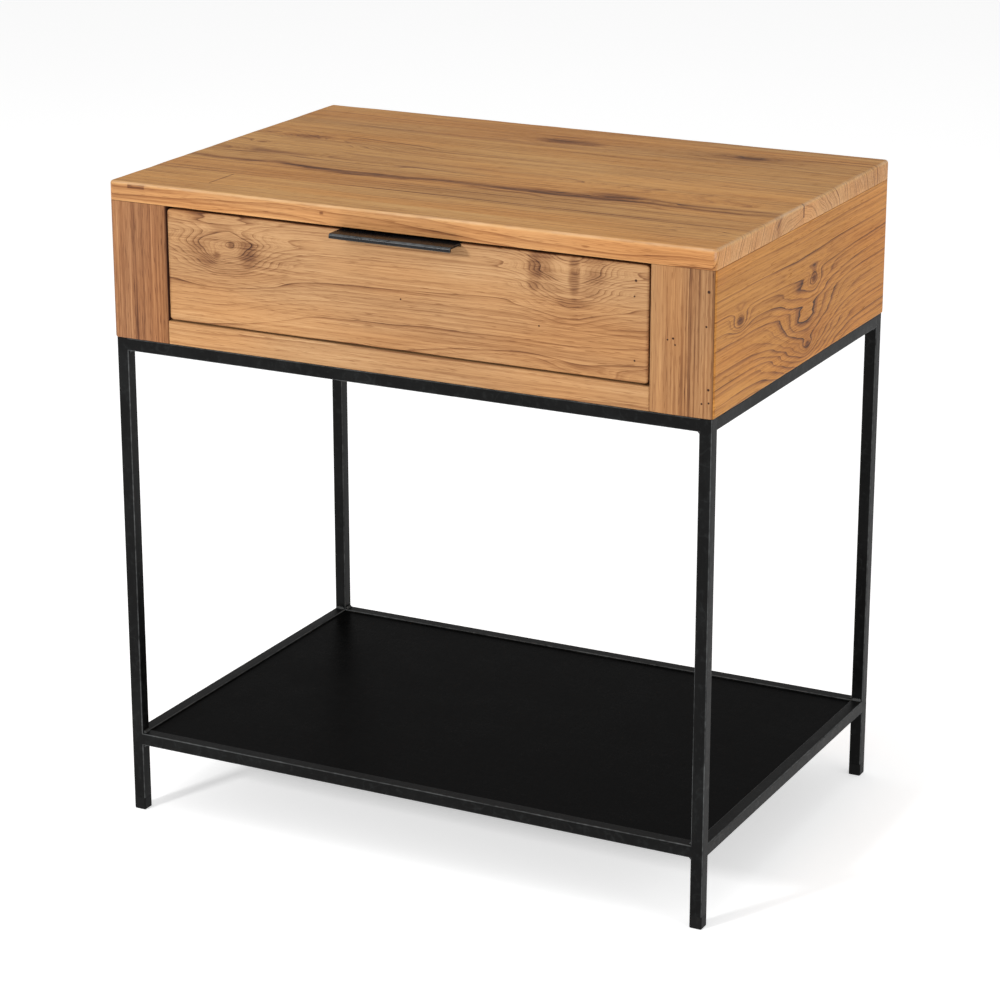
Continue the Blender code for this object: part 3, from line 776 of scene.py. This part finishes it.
def turn_of(points):
    """1 for an outline that runs anticlockwise and -1 for one that runs clockwise."""
    doubled = sum(a.cross(b) for a, b in zip(points, points[1:] + points[:1]))
    return math.copysign(1.0, doubled)


def rim_levels(base, radius, way):
    """(end of the solid, rise from it, inset) for each level of a rim, from the end inwards."""
    if not radius:
        return [(base, 0.0, 0.0)]
    made = []
    for step in range(ARC_STEPS + 1):
        angle = math.pi / 2 * step / ARC_STEPS
        made.append((base, way * radius * (1 - math.cos(angle)), radius * (1 - math.sin(angle))))
    return made


def levels(start, end, start_radius, end_radius):
    """The levels of a solid from end to end, with a rim at each end."""
    return rim_levels(start, start_radius, 1.0) + rim_levels(end, end_radius, -1.0)[::-1]


def slab(name, points, axis, start, end, start_radius=0.0, end_radius=0.0, wear=0.0, still=()):
    """A solid drawn from an outline along an axis, with rounded rims of uneven wear.

    The points of still close the outline on the inside, where the rims are left sharp.
    """
    turn = turn_of([*points, *still])
    if wear:
        points = with_short_runs(points, not still)
    ways = outward(points, not still, turn) + [Vector((0.0, 0.0))] * len(still)
    points = [*points, *still]
    shape = bmesh.new()
    rings = []
    for base, rise, inset in levels(start, end, start_radius, end_radius):
        ring = []
        for point, way in zip(points, ways):
            patch = noise.noise(Vector((point.x, point.y, base)) * WEAR_SCALE)
            share = 1.0 + wear * patch
            flat = point - way * inset * share
            ring.append(shape.verts.new(lay(flat, axis, base + rise * share)))
        rings.append(ring)
    for low_ring, high_ring in zip(rings, rings[1:]):
        for place, vert in enumerate(low_ring):
            shape.faces.new((low_ring[place - 1], vert, high_ring[place], high_ring[place - 1]))
    for ring in (rings[0], rings[-1]):
        close(shape, ring, axis)
    return solid(name, shape)


def close(shape, ring, axis):
    """Closes an end with well-shaped triangles."""
    flat = [Vector([part for place, part in enumerate(vert.co) if place != AXES[axis]]) for vert in ring]
    inside = delaunay_2d_cdt(flat, [], [range(len(ring))], 1, SAME_POINT)
    for face in inside[2]:
        shape.faces.new([ring[inside[3][corner][0]] for corner in face])


def lay(flat, axis, place):
    """A point of an outline, set on the plane that crosses an axis at this place."""
    spots = {"X": (place, *flat), "Y": (flat[0], place, flat[1]), "Z": (*flat, place)}
    return spots[axis]


def solid(name, shape):
    """A smooth-shaded object from a bmesh, with flat faces kept flat."""
    bmesh.ops.recalc_face_normals(shape, faces=shape.faces)
    for face in shape.faces:
        face.smooth = True
    mesh = bpy.data.meshes.new(name)
    shape.to_mesh(mesh)
    shape.free()
    made = bpy.data.objects.new(name, mesh)
    bpy.context.scene.collection.objects.link(made)
    normals = made.modifiers.new("normals", "WEIGHTED_NORMAL")
    normals.mode = "FACE_AREA"
    normals.weight = 100
    return made


def stand_in(piece, node, surface):
    """Puts a drawn piece in place of its CAD node."""
    piece.data.materials.append(surface)
    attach(piece, BODY_OF[node])
    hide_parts(node)
    return piece


def finish_node(node, surface):
    """Gives a CAD node that stays in view its material."""
    kept = frame["nodes"][node]
    for place in kept.material_slots:
        place.material = surface


# ---------------------------------------------------------------- the teak box


def top_wood():
    """Seven staves side by side, with the dark seam of heartwood between the third and fourth."""
    board = Board("top_board", "X", "Y", (0.20, -0.045), 0.0032, 0.32, tilt=0.012, seed=2.0)
    board.joints = (0.0305, 0.0736, 0.1314, 0.1937, 0.3183, 0.3882)
    board.stave_tones = (-0.02, -0.04, 0.03, 0.03, -0.02, 0.06, 0.02)
    board.butt_joints = ((0.088, 0.0305, 0.0736),)
    board.rings = 0.56
    # the tint is partly painted to offset the pale sheen that the lights lay on the face; edge_tint
    # takes part of it back on the edges
    board.tint = (1.26, 1.19, 0.88)
    board.edge_tint = (0.89, 0.85, 0.98)
    board.end_light = 0.20
    board.end_rings = 0.40
    board.knots = (
        Knot(0.035, 0.212, 0.012, 0.006, 2.0, 0.30),
        Knot(0.062, 0.250, 0.028, 0.014, 4.0, 0.08),
        Knot(0.292, 0.343, 0.045, 0.016, 3.5, 0.12),
        Knot(0.484, 0.350, 0.040, 0.016, 4.0, 0.20),
        Knot(0.445, 0.146, 0.040, 0.012, 3.0, 0.10),
        Knot(0.561, 0.062, 0.030, 0.012, 2.0, 0.05),
    )
    board.streaks = (
        Streak(0.1320, -0.02, 0.62, 0.0050, 0.040, 0.30),
        Streak(0.1275, 0.06, 0.24, 0.0040, 0.060, 0.26),
        Streak(0.1190, 0.30, 0.50, 0.0030, 0.080, 0.22),
        Streak(0.1420, 0.36, 0.58, 0.0030, 0.060, 0.20),
        Streak(0.2280, 0.502, 0.546, 0.0010, 0.004, 0.35),
        Streak(0.0280, 0.535, 0.553, 0.0010, 0.003, 0.40),
        Streak(0.1170, 0.160, 0.170, 0.0015, 0.003, 0.30),
    )
    board.patches = (
        Patch((0.020, -0.010, 0.0125), (0.038, 0.006, 0.0165), 0.30),
        Patch((0.221, -0.010, 0.0090), (0.2245, 0.004, 0.0115), 0.35),
        Patch((0.5975, 0.1924, 0.0060), (0.6100, 0.1946, 0.0190), 0.80),
    )
    board.smears = (
        Smear(0.440, 0.149, 0.034, 0.010, 0.22),
        Smear(0.395, 0.135, 0.080, 0.010, 0.17),
        Smear(0.190, 0.127, 0.090, 0.007, 0.13),
        Smear(0.060, 0.255, 0.030, 0.010, 0.15),
        Smear(0.300, 0.345, 0.040, 0.014, 0.18),
        Smear(0.480, 0.352, 0.050, 0.012, 0.07),
    )
    # a painted highlight along the rims, and pale wear with a painted highlight on the upper ones
    board.painted_rim_shade = -0.08
    board.wear_and_painted_light = 0.45
    return board


def drawer_wood():
    """Flat-sawn, with a swirl of two knots on the left and a nest of arcs on the right."""
    board = Board("drawer_front", "X", "Z", (-0.014, 0.075), 0.0037, 0.30, tilt=0.04, seed=5.0)
    board.rings = 0.50
    board.knots = (
        Knot(0.0672, 0.0762, 0.009, 0.008, 3.0, 0.26),
        Knot(0.0520, 0.0654, 0.009, 0.008, 2.5, 0.20),
        Knot(0.0610, 0.0700, 0.042, 0.022, 9.0, -0.04, 0.20),
        Knot(0.4040, 0.0960, 0.036, 0.040, 10.0, -0.06, 0.26),
    )
    board.smears = (
        Smear(0.0420, 0.0600, 0.012, 0.006, 0.16),
        Smear(0.0840, 0.0720, 0.010, 0.018, 0.16),
        Smear(0.3700, 0.0860, 0.008, 0.020, 0.24),
        Smear(0.4080, 0.0860, 0.006, 0.020, 0.28),
        Smear(0.4060, 0.0620, 0.020, 0.005, 0.14),
    )
    board.holes = (
        Hole(0.4657, 0.0890, 0.0012),
        Hole(0.4645, 0.0752, 0.0008),
        Hole(0.4653, 0.0192, 0.0009),
        Hole(0.3750, 0.0388, 0.0008),
        Hole(0.2399, 0.0467, 0.0008),
    )
    # painted shade along the rims
    board.painted_rim_shade = 0.16
    # painted shade on the narrow faces in the gap
    board.painted_gap_shade = 0.42
    return board


def stile_wood(word):
    """Upright grain; the right one has porous dark lines on its outer half, and worm holes."""
    node = "front_stile_" + word
    if word == "left":
        board = Board(node, "Z", "X", (0.095, 0.010), 0.0046, 0.50, seed=8.0)
        board.bend = 0.003
        board.rings = 0.15
        board.tint = (1.03, 0.97, 1.00)
        # painted shade on the face beside the drawer gap
        board.painted_gap_shade = 0.42
        board.streaks = (Streak(0.0250, -0.01, 0.14, 0.0022, 0.010, 0.16),)
        return board
    board = Board(node, "Z", "X", (0.140, 0.010), 0.0040, 0.40, seed=11.0)
    # painted shade on the face beside the drawer gap
    board.painted_gap_shade = 0.42
    board.bend = 0.0016
    board.quiet = (0.018, 0.030)
    board.rings = 0.56
    lines = [0.0288 + 0.0039 * number for number in range(5)]
    board.streaks = tuple(Streak(line, -0.01, 0.14, 0.0009, 0.003, 0.20) for line in lines)
    board.holes = (
        Hole(0.1104, 0.0528, 0.0013),
        Hole(0.0804, 0.0511, 0.0009),
        Hole(0.0668, 0.0210, 0.0010),
        Hole(0.0652, 0.0159, 0.0008),
        Hole(0.0614, 0.0229, 0.0008),
        Hole(0.0260, 0.0540, 0.0011),
        Hole(0.0145, 0.0545, 0.0009),
        Hole(0.0132, 0.0481, 0.0009),
    )
    return board


def panel_wood(word):
    """The side panels: orange, with three knots on the right-hand one."""
    board = Board("side_panel_" + word, "Y", "Z", (-0.020, 0.050), 0.0062, 0.26, tilt=0.03, seed=14.0)
    board.tint = (1.16, 0.91, 0.44)
    board.bend = 0.007
    board.end_light = -0.12
    board.rings = 0.66
    if word == "right":
        board.knots = (
            Knot(0.0535, 0.0736, 0.018, 0.010, 3.0, 0.42),
            Knot(0.2220, 0.0740, 0.014, 0.010, 3.0, 0.34),
            Knot(0.2100, 0.0154, 0.016, 0.009, 2.0, 0.36),
            Knot(0.2067, 0.0250, 0.070, 0.044, 5.5, 0.02),
        )
    else:
        board.seed = 23.0
        board.knots = (Knot(0.2900, 0.0500, 0.030, 0.014, 3.0, 0.22),)
    return board


def make_top():
    low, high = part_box("top_board")
    points = rectangle(low.xy, high.xy, TOP_CORNER)
    made = slab("top_board_wood", points, "Z", low.z, high.z, FINE_RIM, TOP_RIM, TOP_WEAR)
    stand_in(made, "top_board", teak("top_teak", top_wood()))


def make_uprights():
    """The stiles and side panels, which meet in a mitre at each front corner."""
    for word, mirror in SIDES:
        stile_low, stile_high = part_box("front_stile_" + word)
        panel_low, panel_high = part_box("side_panel_" + word)
        face = stile_low.y
        rear = stile_high.y
        outer = mirror * max(abs(panel_low.x), abs(panel_high.x))
        inner = mirror * min(abs(panel_low.x), abs(panel_high.x))
        opening = mirror * min(abs(stile_low.x), abs(stile_high.x))
        line = outline([
            (opening, rear, 0),
            (opening, face, 0),
            (outer, face, BOX_CORNER),
            (outer, panel_high.y, BOX_CORNER),
            (inner, panel_high.y, 0),
        ])
        mitre = 2 + ARC_STEPS // 2  # the middle of the rounded front corner
        seam = [Vector((inner, rear))]
        for node, points, low, high, slot, wood in (
            ("front_stile_" + word, line[: mitre + 1], stile_low, stile_high, "stile_teak", stile_wood),
            ("side_panel_" + word, line[mitre:], panel_low, panel_high, "side_teak", panel_wood),
        ):
            rims = (BOARD_RIM, FINE_RIM, BOARD_WEAR)
            made = slab(node + "_wood", points, "Z", low.z, high.z, *rims, still=seam)
            stand_in(made, node, teak(node + "_teak", wood(word)))


def make_rail():
    low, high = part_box("front_rail")
    points = rectangle((low.x, low.z), (high.x, high.z), 0)
    made = slab("front_rail_wood", points, "Y", low.y, high.y, BOARD_RIM, SMALL_RIM, RAIL_WEAR)
    board = Board("front_rail", "X", "Z", (-0.030, 0.050), 0.0050, 0.27, tilt=0.01, seed=17.0)
    stand_in(made, "front_rail", teak("rail_teak", board))


def make_drawer_front():
    """The drawer front, notched where the pull crosses its top edge."""
    low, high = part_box("drawer_front")
    pull_low, pull_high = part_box("drawer_pull")
    notch = high.z - PULL_NOTCH
    corners = [
        (low.x, low.z, DRAWER_CORNER),
        (high.x, low.z, DRAWER_CORNER),
        (high.x, high.z, DRAWER_CORNER),
        (pull_high.x, high.z, 0),
        (pull_high.x, notch, 0),
        (pull_low.x, notch, 0),
        (pull_low.x, high.z, 0),
        (low.x, high.z, DRAWER_CORNER),
    ]
    points = outline(corners)
    made = slab("drawer_front_wood", points, "Y", low.y, high.y, DRAWER_RIM, SMALL_RIM, DRAWER_WEAR)
    stand_in(made, "drawer_front", teak("drawer_teak_face", drawer_wood()))


def make_inside():
    """The panels and the drawer box that show only from behind, below or with the drawer out."""
    back = Board("back_panel", "X", "Z", (0.060, -0.070), 0.0060, 0.36, tilt=0.02, seed=31.0)
    floor = Board("bottom_panel", "X", "Y", (0.150, -0.080), 0.0060, 0.34, tilt=0.02, seed=35.0)
    finish_node("back_panel", teak("back_teak", back))
    finish_node("bottom_panel", teak("floor_teak", floor))
    for node, grain, across in (
        ("drawer_side_left", "Y", "Z"),
        ("drawer_side_right", "Y", "Z"),
        ("drawer_back", "X", "Z"),
        ("drawer_bottom", "X", "Y"),
        ("runner_block_left", "Y", "Z"),
        ("runner_block_right", "Y", "Z"),
    ):
        seed = 40.0 + len(node)
        board = Board(node, grain, across, (0.030, -0.060), 0.0070, 0.14, tilt=0.01, seed=seed)
        board.tint = (1.0, 0.97, 0.92)
        board.rings = 0.20
        finish_node(node, teak(node + "_wood", board))


# ---------------------------------------------------------------- the steel frame


def make_tubes(surface):
    """The legs and both rings of rails; each rail runs on into the rounding of its legs."""
    for end in ENDS:
        for word, _mirror in SIDES:
            node = f"leg_{end}_{word}"
            low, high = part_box(node)
            points = rectangle(low.xy, high.xy, TUBE_ROUNDING)
            tube = slab(node + "_steel", points, "Z", low.z, high.z)
            stand_in(tube, node, surface)
    for ring in ("top_rail_", "shelf_rail_"):
        for end in ENDS:
            low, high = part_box(ring + end)
            points = rectangle((low.y, low.z), (high.y, high.z), TUBE_ROUNDING)
            reach = TUBE_ROUNDING
            tube = slab(ring + end + "_steel", points, "X", low.x - reach, high.x + reach)
            stand_in(tube, ring + end, surface)
        for word, _mirror in SIDES:
            low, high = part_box(ring + word)
            points = rectangle((low.x, low.z), (high.x, high.z), TUBE_ROUNDING)
            tube = slab(ring + word + "_steel", points, "Y", low.y - reach, high.y + reach)
            stand_in(tube, ring + word, surface)


def weld(shape, corner, first, second, across, length):
    """A rippled fillet of weld in a corner: it climbs along first and second, and runs across."""
    stations = WELD_STEPS * WELD_RIPPLES
    rows = []
    for step in range(stations + 1):
        part = step / stations
        ripple = 1.0 - WELD_DEPTH + WELD_DEPTH * math.cos(2 * math.pi * WELD_RIPPLES * part)
        taper = 1.0 - WELD_TAPER + WELD_TAPER * min(1.0, 6 * part, 6 * (1 - part))
        reach = WELD_REACH * ripple * taper
        middle = corner + across * (part - 0.5) * length
        row = [middle]
        for turn in range(WELD_STEPS + 1):
            angle = math.pi / 2 * turn / WELD_STEPS
            bow = 1.0 - WELD_HOLLOW * math.sin(2 * angle)
            row.append(middle + (first * math.cos(angle) + second * math.sin(angle)) * reach * bow)
        rows.append([shape.verts.new(point) for point in row])
    for low_row, high_row in zip(rows, rows[1:]):
        for place, vert in enumerate(low_row):
            shape.faces.new((low_row[place - 1], vert, high_row[place], high_row[place - 1]))
    shape.faces.new(rows[0])
    shape.faces.new(rows[-1])


def make_welds(surface):
    """The weld fillets where the rails meet each leg, one piece for each leg."""
    up = Vector((0, 0, 1))
    for end, inwards in (("front", 1), ("back", -1)):
        for word, mirror in SIDES:
            low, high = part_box(f"leg_{end}_{word}")
            centre = (low + high) / 2
            half = (high.x - low.x) / 2
            length = 2 * (half - TUBE_ROUNDING)
            side = Vector((-mirror, 0, 0))
            deep = Vector((0, inwards, 0))
            shape = bmesh.new()
            for ring, climbs in (("top_rail_", (-1,)), ("shelf_rail_", (-1, 1))):
                rail_low, rail_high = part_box(ring + end)
                for climb in climbs:
                    z = rail_low.z if climb < 0 else rail_high.z
                    for way, across in ((side, deep), (deep, side)):
                        corner = Vector((centre.x, centre.y, z)) + way * half
                        weld(shape, corner, up * climb, way, across, length)
            made = solid(f"welds_{end}_{word}", shape)
            made.data.materials.append(surface)
            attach(made, BODY_OF[f"leg_{end}_{word}"])


def make_shelf(surface):
    low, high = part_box("shelf_plate")
    points = rectangle(low.xy, high.xy, SHELF_CORNER)
    plate = slab("shelf_plate_steel", points, "Z", low.z, high.z, *SHELF_RIMS)
    stand_in(plate, "shelf_plate", surface)


def make_caps(surface):
    """The caps in the feet, with a groove under the tube and a rounded sole."""
    for end in ENDS:
        for word, _mirror in SIDES:
            node = f"foot_cap_{end}_{word}"
            leg_low, leg_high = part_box(f"leg_{end}_{word}")
            low, _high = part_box(node)
            points = rectangle(leg_low.xy, leg_high.xy, TUBE_ROUNDING)
            made = slab(node + "_plastic", points, "Z", low.z, leg_low.z, CAP_RIM, SMALL_RIM)
            stand_in(made, node, surface)


def make_pull(surface):
    """A steel strip bent over the top edge of the drawer front."""
    low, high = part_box("drawer_pull")
    _front_low, front_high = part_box("drawer_front")
    lip = high.z - PULL_LIP
    inner = PULL_BEND - PULL_SHEET / 2
    outer = PULL_BEND + PULL_SHEET / 2
    rear = front_high.y + JOINT
    corners = [
        (low.y, lip, SMALL_RIM),
        (low.y + PULL_SHEET, lip, SMALL_RIM),
        (low.y + PULL_SHEET, high.z - PULL_SHEET, inner),
        (rear, high.z - PULL_SHEET, inner),
        (rear, low.z, 0.0),
        (rear + PULL_SHEET, low.z, 0.0),
        (rear + PULL_SHEET, high.z, outer),
        (low.y, high.z, outer),
    ]
    points = outline(corners)
    made = slab("drawer_pull_steel", points, "X", low.x, high.x, PULL_RIM, PULL_RIM)
    stand_in(made, "drawer_pull", surface)


def finish_hardware(zinc, screw_black):
    """The runners, their ball cages and the screws keep their CAD shapes."""
    for node in frame["nodes"]:
        if "screw" in node:
            finish_node(node, screw_black)
        elif "ball_cage" in node or ("runner_" in node and "block" not in node):
            finish_node(node, zinc)


# ---------------------------------------------------------------- the studio


def aim(thing, target):
    """Turns a camera or light towards a point."""
    way = Vector(target) - thing.location
    thing.rotation_euler = way.to_track_quat("-Z", "Y").to_euler()


def area_light(name, place, side, power):
    data = bpy.data.lights.new(name, "AREA")
    data.shape = "SQUARE"
    data.size = side
    data.energy = power
    made = bpy.data.objects.new(name, data)
    bpy.context.scene.collection.objects.link(made)
    made.location = place
    aim(made, CAMERA_TARGET)


def make_studio():
    """A pale floor under soft light from the upper left, in front of the table."""
    shape = bmesh.new()
    bmesh.ops.create_grid(shape, x_segments=8, y_segments=8, size=FLOOR_SIZE / 2)
    mesh = bpy.data.meshes.new("studio_floor")
    shape.to_mesh(mesh)
    shape.free()
    mesh.materials.append(studio_paper("studio_paper"))
    floor = bpy.data.objects.new("studio_floor", mesh)
    bpy.context.scene.collection.objects.link(floor)
    for name, (place, side, power) in LIGHTS.items():
        area_light(name, place, side, power)
    world = bpy.data.worlds.new("studio")
    world.use_nodes = True
    background = world.node_tree.nodes["Background"]
    background.inputs["Color"].default_value = (1.0, 1.0, 1.0, 1.0)
    background.inputs["Strength"].default_value = WORLD_STRENGTH
    bpy.context.scene.world = world
    bpy.context.scene.view_settings.view_transform = "Standard"


def make_camera():
    data = bpy.data.cameras.new("camera")
    data.lens = CAMERA_LENS
    data.sensor_width = SENSOR
    data.clip_end = CAMERA_REACH
    made = bpy.data.objects.new("camera", data)
    bpy.context.scene.collection.objects.link(made)
    made.location = CAMERA_PLACE
    aim(made, CAMERA_TARGET)
    bpy.context.scene.camera = made


def main():
    make_camera()
    make_studio()
    make_top()
    make_uprights()
    make_rail()
    make_drawer_front()
    make_inside()
    frame_steel = steel("frame_steel", *FRAME_STEEL)
    make_tubes(frame_steel)
    make_welds(frame_steel)
    make_shelf(steel("plate_steel", *PLATE_STEEL))
    make_pull(steel("grip_steel", *GRIP_STEEL))
    make_caps(moulded_plastic("foot_plastic"))
    finish_hardware(zinc_plate("zinc_sheet"), steel("screw_steel", *SCREW_STEEL))


main()
